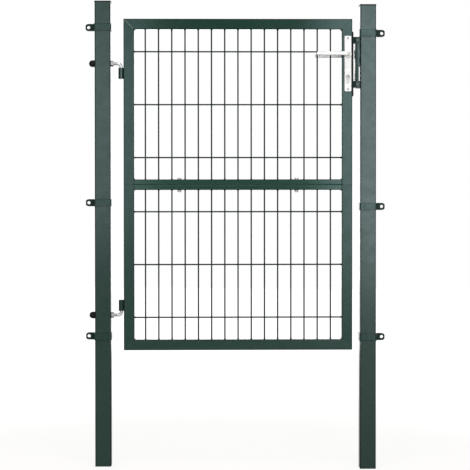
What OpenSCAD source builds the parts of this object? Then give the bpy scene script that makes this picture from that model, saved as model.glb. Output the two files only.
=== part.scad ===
// Pedestrian gate: a bolted two-part mesh leaf hung on two hooks between square posts.
// Origin: centre of the hinge post's foot. +X runs to the latch post, +Y to the back, +Z up.

/* [Posts] */
// Side of the square post tube
post_side = 60; // [56:1:70]
// Wall of the post tube
post_wall = 1.5; // [1.2:0.1:3]
// Outer corner radius of the post tube
post_corner = 4; // [2.5:0.5:5]
// Length of each post from foot to top
post_length = 1750; // [1500:10:2200]
// Distance between the post centres
post_spacing = 1000; // [900:5:1200]
// How much lower the latch post is set than the hinge post
latch_post_drop = 12; // [0:1:30]
// Thickness of a post cap above the tube
cap_plate = 5; // [3:0.5:8]
// How far a post cap stands past the tube's faces
cap_overhang = 1; // [0.5:0.1:2]
// Depth of a post cap's plug inside the tube
cap_plug = 20; // [10:1:30]
// Wall of a post cap's plug
cap_plug_wall = 2; // [1:0.5:4]
// Radius of a post cap's upper edges
cap_edge = 2; // [0.5:0.5:2.5]

/* [Leaf] */
// Clear gap between the hinge post and the leaf
hinge_gap = 48; // [44:1:60]
// Clear gap between the leaf and the latch post
latch_gap = 29; // [28:1:34]
// Distance of the leaf's top below the top of the hinge post
post_head = 62; // [40:1:120]
// Height of each welded half of the leaf
half_height = 625; // [400:5:750]
// Face width of the frame tube
frame_face = 40; // [38:1:46]
// Depth of the frame tube from front to back
frame_depth = 40; // [36:1:46]
// Wall of the frame tube
frame_wall = 1.5; // [1.2:0.1:2]
// Outer corner radius of the frame tube
frame_corner = 3; // [2.5:0.5:4]
// Face height of each meeting rail
meeting_face = 20; // [18:1:26]
// Distance of a joining bolt from the leaf's side
joining_inset = 210; // [150:5:260]
// Diameter of a joining bolt
joining_d = 8; // [6:1:10]
// Size across the flats of a joining bolt's head and nut
joining_across = 13; // [12:1:17]
// Height of a joining bolt's head
joining_head = 5.5; // [4:0.5:7]
// Height of a joining bolt's nut
joining_nut = 6.5; // [5:0.5:9]
// Length of a joining bolt past its nut
joining_tail = 3; // [1:0.5:6]

/* [Mesh] */
// Thickness of a mesh wire
wire_d = 5.5; // [4:0.5:6]
// Distance between the upright wires
wire_pitch = 50; // [40:1:70]
// Distance between the cross wires
cross_pitch = 200; // [150:5:220]
// Least distance of an upright wire from the frame
wire_edge = 25; // [15:1:40]
// Least distance of a cross wire from the frame
cross_edge = 60; // [30:1:75]
// Depth to which crossing wires are welded into each other
wire_sink = 1; // [0.6:0.1:1.5]

/* [Hinges] */
// Diameter of a hinge hook's rod
hook_d = 12; // [10:1:14]
// Centreline radius of a hook's bend
hook_bend = 12.5; // [9:0.5:13]
// Distance of the upper hook below the leaf's top
upper_hook_drop = 168; // [150:1:220]
// Distance of the lower hook above the leaf's underside
lower_hook_rise = 132; // [100:1:200]
// Outer diameter of a hinge barrel
barrel_od = 20; // [18:0.5:22]
// Length of a hinge barrel
barrel_length = 42; // [35:1:60]
// Distance from a hook's rod axis to the near end of its barrel
barrel_offset = 16; // [14:0.5:20]
// Part of a barrel's bore that the hook leaves empty
barrel_spare = 4; // [1:0.5:10]
// Size across the flats of a hook nut
hook_nut_across = 19; // [18:0.5:20]
// Height of a hook nut
hook_nut = 10; // [8:0.5:12]
// Length of a hook's rod past its outer nut
hook_tail = 5; // [2:0.5:7]
// Outer radius of a hook nut's cover
cover_radius = 13; // [13:0.5:15]
// Wall of a hook nut's cover
cover_wall = 1.5; // [1:0.1:1.5]
// Length of the straight skirt of a hook nut's cover
cover_skirt = 10; // [8:0.5:14]

/* [Panel clamps] */
// Height of a panel clamp's band
clamp_height = 27; // [24:1:40]
// Thickness of a panel clamp's strip
clamp_sheet = 2.5; // [2:0.5:4]
// Distance of a clamp's bolt hole from the post's face
clamp_reach = 24; // [19:1:30]
// Gap between the two ears of a clamp
clamp_gap = 3; // [2:0.5:3.5]
// Diameter of a clamp's bolt hole
clamp_hole = 12; // [8.5:0.5:12.5]
// Inner radius of the bend at the root of a clamp's ear
clamp_bend = 3; // [2:0.5:5]
// Edge radius of a clamp's strip
clamp_edge = 1; // [0.5:0.1:1.2]
// Height of the hinge post's bottom clamp above the leaf's underside
hinge_clamp_low = 53; // [30:1:85]
// Distance of the hinge post's middle clamp below the leaf's seam
hinge_clamp_mid = 68; // [0:1:150]
// Distance of the hinge post's top clamp below the leaf's top
hinge_clamp_high = 32; // [0:1:100]
// Height of the latch post's bottom clamp above the leaf's underside
latch_clamp_low = 48; // [30:1:85]
// Distance of the latch post's middle clamp below the leaf's seam
latch_clamp_mid = 83; // [0:1:150]
// Gap between the keeper's top and the top clamp on the latch post
latch_clamp_gap = 1.5; // [1:0.5:20]

/* [Lock] */
// Distance of the lock's centre below the leaf's top
lock_drop = 169; // [165:1:200]
// Distance of the spindle and key cylinder from the leaf's edge
lock_backset = 17; // [16:0.5:19]
// Height of the spindle above the lock's centre
spindle_rise = 36; // [34:1:42]
// Distance of the key cylinder below the lock's centre
key_drop = 49; // [46:1:58]
// Width of a lock plate
plate_width = 26; // [25:0.5:30]
// Length of a lock plate
plate_length = 208; // [200:1:230]
// Thickness of a lock plate
plate_sheet = 8; // [6:0.5:10]
// Radius of a lock plate's front edges
plate_edge = 2.5; // [1:0.5:4]
// Corner radius of a lock plate's outline
plate_corner = 4; // [2:0.5:8]
// Diameter of the collar round a lever's hub
collar_d = 28; // [26:0.5:30]
// How far a hub's collar stands out of its lock plate
collar_proud = 3; // [1:0.5:4]
// Radius of a collar's front edge
collar_edge = 2; // [0.5:0.5:2.5]
// Width of the lock's forend
forend_width = 24; // [22:0.5:26]
// Length of the lock's forend
forend_length = 244; // [235:1:260]
// Thickness of the lock's forend
forend_sheet = 5; // [3:0.5:6]
// Corner radius of the lock's forend
forend_corner = 6; // [2:0.5:10]
// Thickness of the lock case
case_width = 16; // [15:0.5:18]
// Length of the lock case
case_length = 165; // [160:1:180]
// Gap between the lock case and the far wall of the stile
case_gap = 2; // [1:0.5:3]
// Diameter of the key cylinder's round part
key_round = 17; // [16:0.5:18]
// Width of the key cylinder's lobe
key_lobe = 10; // [9:0.5:11]
// Height of the key cylinder's whole outline
key_height = 33; // [31:0.5:34]
// How far the key cylinder stands out of a lock plate
key_proud = 2.5; // [1:0.5:4]
// Width of a key slot
key_slot_width = 2.5; // [1.5:0.5:3]
// Height of a key slot
key_slot_height = 8; // [6:0.5:10]
// Height of the latch
latch_height = 30; // [26:1:32]
// Thickness of the latch
latch_width = 12; // [10:0.5:12.5]
// How far the latch stands out of the forend
latch_reach = 15; // [14:0.5:17]
// Length of the latch's bevel
latch_bevel = 12; // [8:0.5:13]
// Width left at the latch's tip
latch_nose = 3; // [2:0.5:5]
// How far the latch draws back
latch_travel = 14.5; // [12:0.5:14.5]
// Height of each arm of the latch's fork
latch_arm = 6; // [5:0.5:7]
// Length of the latch's fork arms
latch_fork = 12; // [8:1:14]
// Height of the deadbolt
deadbolt_height = 22; // [18:1:26]

/* [Handles] */
// Side of the square spindle
spindle_side = 8; // [7:0.5:8]
// Depth of the spindle's seat in a lever
spindle_seat = 18; // [12:1:24]
// Diameter of a lever's hub
hub_d = 18; // [17:0.5:20]
// Gap between a lever's hub and the leaf's face
hub_gap = 1; // [0.5:0.5:2]
// How far a hub stands out of its lock plate
hub_proud = 6; // [5:0.5:10]
// Distance from the spindle to a lever's free end
lever_reach = 119; // [100:1:130]
// Height of a lever's bar
lever_height = 14; // [11:0.5:15]
// Depth of a lever's bar
lever_depth = 12; // [10:0.5:14]
// Edge radius of a lever's bar
lever_edge = 3.5; // [2:0.5:4.5]
// Centreline radius of a lever's elbow
lever_bend = 14; // [12:0.5:18]
// Distance from a lock plate's face to the middle of a lever's bar
lever_stand = 36; // [32:1:50]
// Corner radius of a lever's free end
lever_tip = 5; // [3:0.5:5.5]

/* [Keeper] */
// Thickness of the keeper's steel sheet
keeper_sheet = 3; // [2:0.5:4]
// Distance of the keeper's strike face from the post
keeper_stand = 18; // [15:0.5:18]
// Length of the keeper
keeper_length = 192; // [190:1:210]
// Height of the keeper's centre above the lock's centre
keeper_rise = 5; // [0:1:8]
// Outer radius of the keeper's folds
keeper_fold = 5; // [4.5:0.5:6]
// Depth of the notch in the keeper's flanges
keeper_notch = 4.5; // [4:0.5:8]
// Length of the notch in the keeper's flanges
keeper_notch_length = 57; // [40:1:64]
// Height of each stop tab, and of the solid ends of the keeper's flanges
stop_height = 26; // [20:1:32]
// How far a stop tab laps over the front of the leaf's edge
stop_lap = 1.5; // [0.5:0.5:2]
// Gap between the leaf's front and a stop tab
stop_gap = 2; // [1:0.5:3]
// Corner radius of a stop tab
stop_corner = 3; // [2:0.5:8]

/* [Fits] */
// Radial clearance of a hook in its hinge barrel
pin_clearance = 0.08; // [0.05:0.01:0.1]
// Radial clearance of a lever's hub in its lock plate
hub_clearance = 0.08; // [0.05:0.01:0.1]
// Radial clearance of a rod or bolt in its hole
bolt_clearance = 0.5; // [0.3:0.1:0.8]
// Radial clearance of a nut on its rod or bolt
thread_clearance = 0.1; // [0.05:0.01:0.2]
// Clearance round the latch, deadbolt, key cylinder, spindle and lock case
slide_clearance = 0.3; // [0.2:0.05:0.5]
// Clearance of a cap's plug in its post
plug_clearance = 0.3; // [0.2:0.05:0.5]
// Clearance of a clamp's band round its post
band_clearance = 0.2; // [0.1:0.05:0.4]
// Gap that a weld fills between a barrel and the leaf
weld_gap = 0.2; // [0.1:0.05:0.5]
// Room that the keeper leaves round the latch and the deadbolt
strike_clearance = 3; // [2:0.5:4]

/* [Hidden] */
$fn = 48;
cut = 1;
wire_sides = 8;
paint = "#3a524c";
paint_dark = "#2c423c";
zinc = "#c9ccd0";
black = "#1d1f20";
satin = "#e6e6e4";

post_face = post_side / 2;
leaf_left = post_face + hinge_gap;
leaf_right = post_spacing - post_face - latch_gap;
leaf_width = leaf_right - leaf_left;
leaf_top = post_length - post_head;
seam_z = leaf_top - half_height;
leaf_lift = seam_z - half_height;
opening_width = leaf_width - 2 * frame_face;
opening_height = half_height - frame_face - meeting_face;

wire_offset = (wire_d - wire_sink) / 2;
wire_count = floor((opening_width - 2 * wire_edge) / wire_pitch) + 1;
wire_first = (opening_width - (wire_count - 1) * wire_pitch) / 2;
cross_count = floor((opening_height - 2 * cross_edge) / cross_pitch) + 1;
cross_first = (opening_height - (cross_count - 1) * cross_pitch) / 2;

hinge_x = leaf_left - weld_gap - barrel_od / 2;
upper_hook_z = leaf_top - upper_hook_drop;
lower_hook_z = leaf_lift + lower_hook_rise;
hook_leg = barrel_offset + barrel_length - barrel_spare;
hook_outer_end = post_face + hook_nut + hook_tail;

lock_z = leaf_top - lock_drop;
lock_x = leaf_right - lock_backset;
spindle_z = lock_z + spindle_rise;
key_z = lock_z - key_drop;
plate_front = frame_depth / 2 + plate_sheet;
key_lobe_drop = key_height - key_round / 2 - key_lobe / 2;
case_left = leaf_right - frame_face + frame_wall + case_gap;
forend_right = leaf_right + forend_sheet;
spindle_sweep = spindle_side * sqrt(2) / 2 + slide_clearance;
latch_back = lock_x + spindle_sweep + latch_travel + slide_clearance;
latch_tip = forend_right + latch_reach;
deadbolt_back = lock_x + key_round / 2 + 2 * slide_clearance;
hub_inner = frame_depth / 2 + hub_gap;
lever_y = plate_front + lever_stand;
spindle_end = plate_front + hub_proud + spindle_seat;

clamp_inner = post_side + 2 * band_clearance;
clamp_outer = clamp_inner + 2 * clamp_sheet;
clamp_ear = post_face + clamp_reach;

latch_post_face = post_spacing - post_face;
keeper_x = latch_post_face - keeper_stand;
keeper_bottom = lock_z + keeper_rise - keeper_length / 2;
keeper_top = keeper_bottom + keeper_length;
keeper_depth = frame_depth + 2 * stop_gap;

// Outline of a rectangle with round corners, centred on the origin
module round_rect(width, depth, radius) {
    square([width - 2 * radius, depth], center = true);
    square([width, depth - 2 * radius], center = true);
    for (x = [-1, 1], y = [-1, 1])
        translate([x * (width / 2 - radius), y * (depth / 2 - radius)])
            circle(r = radius);
}

// Section of a drawn tube, its inner corners following the outer ones
module tube_section(width, depth, wall, radius) {
    difference() {
        round_rect(width, depth, radius);
        round_rect(width - 2 * wall, depth - 2 * wall, max(radius - wall, 0.5));
    }
}

// Plate in the XZ plane, of the drawn outline, from y = back to y = back + thickness
module upright_plate(back, thickness) {
    translate([0, back + thickness, 0])
        rotate([90, 0, 0])
            linear_extrude(height = thickness)
                children();
}

// Round bar along +X from the origin
module bar_x(diameter, length) {
    rotate([0, 90, 0])
        cylinder(d = diameter, h = length);
}

// Hexagon block along +Z from the origin, its corners turned off at both ends
module hex_block(across, height) {
    flat = across / 2;
    corner = flat / cos(30);
    chamfer = (corner - flat) * tan(30);
    intersection() {
        cylinder(r = corner, h = height, $fn = 6);
        rotate_extrude()
            polygon([[0, 0], [flat, 0], [2 * corner - flat, 2 * chamfer],
                [2 * corner - flat, height - 2 * chamfer], [flat, height], [0, height]]);
    }
}

// Hexagon nut along +Z from the origin, with a plain bore
module hex_nut(across, height, bore) {
    difference() {
        hex_block(across, height);
        translate([0, 0, -cut])
            cylinder(d = bore, h = height + 2 * cut);
    }
}

// What the shape seen from the front and the same shape seen from the side have in common
module for_both_sides() {
    intersection() {
        children();
        rotate([0, 0, 90])
            children();
    }
}

// Post tube standing on the origin
module post_tube() {
    linear_extrude(height = post_length)
        tube_section(post_side, post_side, post_wall, post_corner);
}

module hinge_post() {
    color(paint)
        difference() {
            post_tube();
            for (z = [upper_hook_z, lower_hook_z])
                translate([-post_face - cut, 0, z])
                    bar_x(hook_d + 2 * bolt_clearance, post_side + 2 * cut);
        }
}

module latch_post() {
    color(paint)
        translate([post_spacing, 0, -latch_post_drop])
            post_tube();
}

// Moulded cap with rounded upper edges and a hollow plug that sits in the post's mouth
module post_cap() {
    side = post_side + 2 * cap_overhang;
    plug = post_side - 2 * post_wall - 2 * plug_clearance;
    plug_corner = max(post_corner - post_wall, 0.5);
    color(black) {
        intersection() {
            linear_extrude(height = cap_plate)
                round_rect(side, side, post_corner + cap_overhang);
            for_both_sides()
                upright_plate(-side, 2 * side)
                    round_rect(side, 2 * cap_plate, cap_edge);
        }
        translate([0, 0, -cap_plug])
            linear_extrude(height = cap_plug)
                tube_section(plug, plug, cap_plug_wall, plug_corner);
    }
}

module hinge_post_cap() {
    translate([0, 0, post_length])
        post_cap();
}

module latch_post_cap() {
    translate([post_spacing, 0, post_length - latch_post_drop])
        post_cap();
}

// Quarter of a square left over beside a circle in its far corner, reaching to +X and -Y
module bend_corner(radius, overlap) {
    difference() {
        translate([0, -radius - overlap])
            square(radius + overlap);
        circle(r = radius);
    }
}

// Plan of a clamp's strip: a band round the post that bends out into two ears towards -X
module clamp_plan() {
    bend_y = clamp_gap / 2 + clamp_sheet + clamp_bend;
    ear_length = clamp_ear + clamp_height / 2 - clamp_inner / 2;
    difference() {
        union() {
            tube_section(clamp_outer, clamp_outer, clamp_sheet, post_corner + clamp_sheet);
            for (side = [0, 1])
                mirror([0, side, 0]) {
                    translate([-clamp_inner / 2 - ear_length, clamp_gap / 2])
                        square([ear_length, clamp_sheet]);
                    translate([-clamp_outer / 2 - clamp_bend, bend_y])
                        bend_corner(clamp_bend, clamp_sheet / 2);
                }
        }
        translate([-clamp_outer / 2 - cut, -clamp_gap / 2])
            square([clamp_sheet + 2 * cut, clamp_gap]);
        for (side = [0, 1])
            mirror([0, side, 0])
                translate([-clamp_outer / 2 - clamp_bend, bend_y])
                    bend_corner(clamp_bend + clamp_sheet, 0);
    }
}

// Bent strip round a post with rounded edges, its two ears pointing to -X, centred on the origin
module panel_clamp() {
    color(paint_dark)
        difference() {
            intersection() {
                translate([0, 0, -clamp_height / 2])
                    linear_extrude(height = clamp_height)
                        clamp_plan();
                translate([-clamp_outer, 0, 0])
                    rotate([90, 0, 90])
                        linear_extrude(height = 2 * clamp_outer)
                            round_rect(clamp_outer, clamp_height, clamp_edge);
                upright_plate(-clamp_outer, 2 * clamp_outer) {
                    round_rect(clamp_outer, clamp_height, clamp_edge);
                    translate([-clamp_ear, -clamp_height / 2])
                        square([clamp_ear, clamp_height]);
                    translate([-clamp_ear, 0])
                        circle(d = clamp_height);
                }
            }
            translate([-clamp_ear, -clamp_outer, 0])
                rotate([-90, 0, 0])
                    cylinder(d = clamp_hole, h = 2 * clamp_outer);
        }
}

// Clamp on the hinge post, centred on a height
module hinge_clamp(z) {
    translate([0, 0, z])
        panel_clamp();
}

// Clamp on the latch post, centred on a height, its ears pointing away from the leaf
module latch_clamp(z) {
    translate([post_spacing, 0, z])
        mirror([1, 0, 0])
            panel_clamp();
}

module hinge_clamp_bottom() { hinge_clamp(leaf_lift + hinge_clamp_low); }
module hinge_clamp_middle() { hinge_clamp(seam_z - hinge_clamp_mid); }
module hinge_clamp_top() { hinge_clamp(leaf_top - hinge_clamp_high); }
module latch_clamp_bottom() { latch_clamp(leaf_lift + latch_clamp_low); }
module latch_clamp_middle() { latch_clamp(seam_z - latch_clamp_mid); }
module latch_clamp_top() { latch_clamp(keeper_top + latch_clamp_gap + clamp_height / 2); }

// Rod through the post that bends down into a hinge barrel, its axis along X at z = 0
module hinge_hook() {
    color(zinc) {
        translate([-hook_outer_end, 0, 0])
            bar_x(hook_d, hook_outer_end + hinge_x - hook_bend);
        translate([hinge_x - hook_bend, 0, -hook_bend])
            rotate([90, 0, 0])
                rotate_extrude(angle = 90)
                    translate([hook_bend, 0])
                        circle(d = hook_d);
        translate([hinge_x, 0, -hook_leg])
            cylinder(d = hook_d, h = hook_leg - hook_bend);
    }
}

module upper_hinge_hook() {
    translate([0, 0, upper_hook_z])
        hinge_hook();
}

module lower_hinge_hook() {
    translate([0, 0, lower_hook_z])
        mirror([0, 0, 1])
            hinge_hook();
}

// Pair of nuts that grips the post, one on each side
module hook_nuts() {
    color(zinc)
        for (side = [0, 1])
            mirror([side, 0, 0])
                translate([post_face, 0, 0])
                    rotate([0, 90, 0])
                        hex_nut(hook_nut_across, hook_nut, hook_d + 2 * thread_clearance);
}

module upper_hook_nuts() {
    translate([0, 0, upper_hook_z])
        hook_nuts();
}

module lower_hook_nuts() {
    translate([0, 0, lower_hook_z])
        hook_nuts();
}

// Half outline of a round-topped cover, from its axis out
module cover_outline(radius) {
    square([radius, cover_skirt]);
    translate([0, cover_skirt])
        intersection() {
            circle(r = radius);
            square(radius);
        }
}

// Hollow domed cover over the outer nut
module nut_cover() {
    color(black)
        translate([-post_face, 0, 0])
            rotate([0, -90, 0])
                rotate_extrude()
                    difference() {
                        cover_outline(cover_radius);
                        cover_outline(cover_radius - cover_wall);
                    }
}

module upper_nut_cover() {
    translate([0, 0, upper_hook_z])
        nut_cover();
}

module lower_nut_cover() {
    translate([0, 0, lower_hook_z])
        nut_cover();
}

// Bored tube welded to the stile, from z = 0 down
module hinge_barrel() {
    color(paint_dark)
        translate([hinge_x, 0, -barrel_length])
            difference() {
                cylinder(d = barrel_od, h = barrel_length);
                translate([0, 0, -cut])
                    cylinder(d = hook_d + 2 * pin_clearance, h = barrel_length + 2 * cut);
            }
}

module upper_hinge_barrel() {
    translate([0, 0, upper_hook_z - barrel_offset])
        hinge_barrel();
}

module lower_hinge_barrel() {
    translate([0, 0, lower_hook_z + barrel_offset + barrel_length])
        hinge_barrel();
}

// Frame tube along +X from the origin, its lower face at z = 0
module rail_tube(length, face) {
    translate([0, 0, face / 2])
        rotate([90, 0, 90])
            linear_extrude(height = length)
                tube_section(frame_depth, face, frame_wall, frame_corner);
}

// Prism in the XZ plane that trims a frame tube to the drawn outline
module mitre() {
    upright_plate(-frame_depth, 2 * frame_depth)
        children();
}

// Outer rail of a half, mitred at both ends, its outer face at the top
module outer_rail() {
    color(paint)
        intersection() {
            rail_tube(leaf_width, frame_face);
            mitre()
                polygon([[-cut, frame_face + cut], [leaf_width + cut, frame_face + cut],
                    [leaf_width - frame_face - cut, -cut], [frame_face + cut, -cut]]);
        }
}

// Stile of a half, square at the seam and mitred at the outer rail, its outer face at x = 0
module stile() {
    intersection() {
        translate([frame_face / 2, 0, 0])
            linear_extrude(height = half_height)
                tube_section(frame_face, frame_depth, frame_wall, frame_corner);
        mitre()
            polygon([[-cut, -cut], [frame_face + cut, -cut],
                [frame_face + cut, half_height - frame_face - cut], [-cut, half_height + cut]]);
    }
}

module top_rail() {
    translate([leaf_left, 0, leaf_top - frame_face])
        outer_rail();
}

module bottom_rail() {
    translate([leaf_left, 0, leaf_lift + frame_face])
        mirror([0, 0, 1])
            outer_rail();
}

// Flat tube between the stiles, drilled for the joining bolts, from z = 0 up
module meeting_rail() {
    color(paint)
        difference() {
            translate([leaf_left + frame_face, 0, 0])
                rail_tube(opening_width, meeting_face);
            for (x = [leaf_left + joining_inset, leaf_right - joining_inset])
                translate([x, 0, -cut])
                    cylinder(d = joining_d + 2 * bolt_clearance, h = meeting_face + 2 * cut);
        }
}

module upper_meeting_rail() {
    translate([0, 0, seam_z])
        meeting_rail();
}

module lower_meeting_rail() {
    translate([0, 0, seam_z - meeting_face])
        meeting_rail();
}

// Bolt through both meeting rails, with its nut below
module joining_bolt(x) {
    color(zinc)
        translate([x, 0, seam_z]) {
            translate([0, 0, meeting_face])
                hex_block(joining_across, joining_head);
            translate([0, 0, -meeting_face - joining_nut - joining_tail])
                cylinder(d = joining_d, h = 2 * meeting_face + joining_nut + joining_tail + cut);
            translate([0, 0, -meeting_face - joining_nut])
                hex_nut(joining_across, joining_nut, joining_d + 2 * thread_clearance);
        }
}

module hinge_side_joining_bolt() { joining_bolt(leaf_left + joining_inset); }
module latch_side_joining_bolt() { joining_bolt(leaf_right - joining_inset); }

module upper_hinge_stile() {
    color(paint)
        translate([leaf_left, 0, seam_z])
            stile();
}

module lower_hinge_stile() {
    color(paint)
        translate([leaf_left, 0, seam_z])
            mirror([0, 0, 1])
                stile();
}

// Outline of the key cylinder, its round part on the origin, grown all round by a margin
module key_outline(margin) {
    circle(d = key_round + 2 * margin);
    translate([-key_lobe / 2 - margin, -key_lobe_drop])
        square([key_lobe + 2 * margin, key_lobe_drop]);
    translate([0, -key_lobe_drop])
        circle(d = key_lobe + 2 * margin);
}

// Key cylinder's shape through the leaf, grown all round by a margin
module key_prism(margin, length) {
    translate([lock_x, 0, key_z])
        upright_plate(-length / 2, length)
            key_outline(margin);
}

module upper_latch_stile() {
    color(paint)
        difference() {
            translate([leaf_right, 0, seam_z])
                mirror([1, 0, 0])
                    stile();
            translate([leaf_right - frame_face / 2, -case_width / 2 - slide_clearance,
                    lock_z - case_length / 2 - slide_clearance])
                cube([frame_face, case_width + 2 * slide_clearance,
                    case_length + 2 * slide_clearance]);
            translate([lock_x, frame_depth, spindle_z])
                rotate([90, 0, 0])
                    cylinder(r = spindle_sweep, h = 2 * frame_depth);
            key_prism(slide_clearance, 2 * frame_depth);
        }
}

module lower_latch_stile() {
    color(paint)
        translate([leaf_right, 0, seam_z])
            rotate([0, 180, 0])
                stile();
}

// Straight eight-sided wire along +Z from the origin, flat faces to the front and back
module wire(length) {
    rotate([0, 0, 180 / wire_sides])
        cylinder(d = wire_d / cos(180 / wire_sides), h = length, $fn = wire_sides);
}

// Welded mesh that fills one half's opening: upright wires in front, cross wires behind
module mesh_panel() {
    color(paint_dark) {
        for (i = [0:wire_count - 1])
            translate([wire_first + i * wire_pitch, -wire_offset, 0])
                wire(opening_height);
        for (i = [0:cross_count - 1])
            translate([0, wire_offset, cross_first + i * cross_pitch])
                rotate([0, 90, 0])
                    wire(opening_width);
    }
}

module upper_mesh() {
    translate([leaf_left + frame_face, 0, seam_z + meeting_face])
        mesh_panel();
}

module lower_mesh() {
    translate([leaf_left + frame_face, 0, leaf_lift + frame_face])
        mesh_panel();
}

// Box that the latch slides in, grown all round by a margin
module latch_room(left, right, margin) {
    translate([left, -latch_width / 2 - margin, spindle_z - latch_height / 2 - margin])
        cube([right - left, latch_width + 2 * margin, latch_height + 2 * margin]);
}

// Box that holds the deadbolt, grown all round by a margin
module deadbolt_room(left, right, margin) {
    translate([left, -latch_width / 2 - margin, key_z - deadbolt_height / 2 - margin])
        cube([right - left, latch_width + 2 * margin, deadbolt_height + 2 * margin]);
}

module lock_case() {
    color(zinc)
        difference() {
            translate([case_left, -case_width / 2, lock_z - case_length / 2])
                cube([leaf_right - case_left, case_width, case_length]);
            latch_room(latch_back - latch_fork - latch_travel - slide_clearance,
                leaf_right + cut, slide_clearance);
            deadbolt_room(deadbolt_back - slide_clearance, leaf_right + cut, slide_clearance);
            translate([lock_x, case_width, spindle_z])
                rotate([90, 0, 0])
                    cylinder(r = spindle_sweep, h = 2 * case_width);
            key_prism(slide_clearance, 2 * case_width);
        }
}

module lock_forend() {
    color(black)
        difference() {
            translate([leaf_right, 0, lock_z])
                rotate([90, 0, 90])
                    linear_extrude(height = forend_sheet)
                        round_rect(forend_width, forend_length, forend_corner);
            latch_room(leaf_right - cut, forend_right + cut, slide_clearance);
            deadbolt_room(leaf_right - cut, forend_right + cut, slide_clearance);
        }
}

module deadbolt() {
    color(zinc)
        deadbolt_room(deadbolt_back, forend_right, 0);
}

// Latch with a bevelled nose and a forked tail that straddles the spindle
module latch() {
    arm_gap = latch_height - 2 * latch_arm;
    color(zinc)
        difference() {
            latch_room(latch_back - latch_fork, latch_tip, 0);
            translate([latch_back - latch_fork - cut, -latch_width, spindle_z - arm_gap / 2])
                cube([latch_fork + cut, 2 * latch_width, arm_gap]);
            translate([latch_tip, 0, spindle_z - latch_height])
                linear_extrude(height = 2 * latch_height)
                    polygon([[cut, -latch_width / 2 - cut], [cut, latch_width / 2 - latch_nose],
                        [0, latch_width / 2 - latch_nose], [-latch_bevel, -latch_width / 2],
                        [-latch_bevel, -latch_width / 2 - cut]]);
        }
}

// Round collar on the leaf's front face, its axis on the origin, with a rounded front edge
module hub_collar() {
    height = plate_sheet + collar_proud;
    translate([0, -frame_depth / 2, 0])
        rotate([90, 0, 0])
            rotate_extrude()
                intersection() {
                    round_rect(collar_d, 2 * height, collar_edge);
                    square([collar_d, height]);
                }
}

// Plate without its holes, its edges rounded at the front and its outline at the corners
module plate_body() {
    intersection() {
        translate([lock_x, -frame_depth / 2, lock_z - plate_length / 2])
            linear_extrude(height = plate_length)
                intersection() {
                    round_rect(plate_width, 2 * plate_sheet, plate_edge);
                    translate([-plate_width, -2 * plate_sheet])
                        square([2 * plate_width, 2 * plate_sheet]);
                }
        translate([lock_x, 0, lock_z])
            upright_plate(-plate_front - cut, plate_front + cut)
                round_rect(plate_width, plate_length, plate_corner);
    }
}

// Lock plate on the leaf's front face, with rounded front edges and a collar round the lever's hub
module lock_plate() {
    color(satin)
        difference() {
            union() {
                translate([lock_x, 0, spindle_z])
                    hub_collar();
                plate_body();
            }
            translate([lock_x, 0, spindle_z])
                rotate([90, 0, 0])
                    cylinder(d = hub_d + 2 * hub_clearance, h = plate_front + collar_proud + cut);
            key_prism(slide_clearance, 2 * plate_front + 2 * cut);
        }
}

module front_lock_plate() { lock_plate(); }

module rear_lock_plate() {
    mirror([0, 1, 0])
        lock_plate();
}

// Double key cylinder, with a key slot in each face
module key_cylinder() {
    key_length = 2 * (plate_front + key_proud);
    color(satin)
        difference() {
            key_prism(0, key_length);
            for (y = [-key_length / 2, key_length / 2])
                translate([lock_x - key_slot_width / 2, y - plate_sheet, key_z - key_slot_height / 2])
                    cube([key_slot_width, 2 * plate_sheet, key_slot_height]);
        }
}

module handle_spindle() {
    color(zinc)
        translate([lock_x - spindle_side / 2, -spindle_end, spindle_z - spindle_side / 2])
            cube([spindle_side, 2 * spindle_end, spindle_side]);
}

// Section of a lever's bar
module lever_section() {
    round_rect(lever_depth, lever_height, lever_edge);
}

// Lever at the front: a hub in the lock plate, a neck, an elbow and a bar that points to -X
module lever() {
    hub_front = plate_front + hub_proud;
    seat = spindle_side + 2 * slide_clearance;
    bar_length = lever_reach - lever_bend;
    color(satin)
        translate([lock_x, 0, spindle_z])
            difference() {
                union() {
                    translate([0, -hub_inner, 0])
                        rotate([90, 0, 0])
                            cylinder(d = hub_d, h = hub_front - hub_inner);
                    translate([0, -hub_front, 0])
                        rotate([90, 0, 0])
                            linear_extrude(height = lever_y - lever_bend - hub_front)
                                lever_section();
                    translate([-lever_bend, -lever_y + lever_bend, 0])
                        rotate([0, 0, -90])
                            rotate_extrude(angle = 90)
                                translate([lever_bend, 0])
                                    lever_section();
                    intersection() {
                        translate([-lever_reach, -lever_y, 0])
                            rotate([90, 0, 90])
                                linear_extrude(height = bar_length)
                                    lever_section();
                        translate([-lever_reach / 2, 0, 0])
                            upright_plate(-2 * lever_y, 2 * lever_y)
                                round_rect(lever_reach, lever_height, lever_tip);
                    }
                }
                translate([-seat / 2, -spindle_end - slide_clearance, -seat / 2])
                    cube([seat, spindle_end, seat]);
            }
}

module front_lever() { lever(); }

module rear_lever() {
    mirror([0, 1, 0])
        lever();
}

// Folded channel on the latch post: a strike face with two windows, and two notched flanges
module keeper() {
    color(paint)
        difference() {
            translate([keeper_x, 0, keeper_bottom])
                linear_extrude(height = keeper_length)
                    intersection() {
                        translate([keeper_stand, 0])
                            tube_section(2 * keeper_stand, keeper_depth, keeper_sheet, keeper_fold);
                        translate([-cut, -keeper_depth])
                            square([keeper_stand + cut, 2 * keeper_depth]);
                    }
            latch_room(keeper_x - cut, latch_post_face, strike_clearance);
            deadbolt_room(keeper_x - cut, latch_post_face, strike_clearance);
            translate([latch_post_face - keeper_notch, -keeper_depth, keeper_bottom + stop_height])
                cube([keeper_notch + cut, 2 * keeper_depth, keeper_notch_length]);
        }
}

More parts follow.
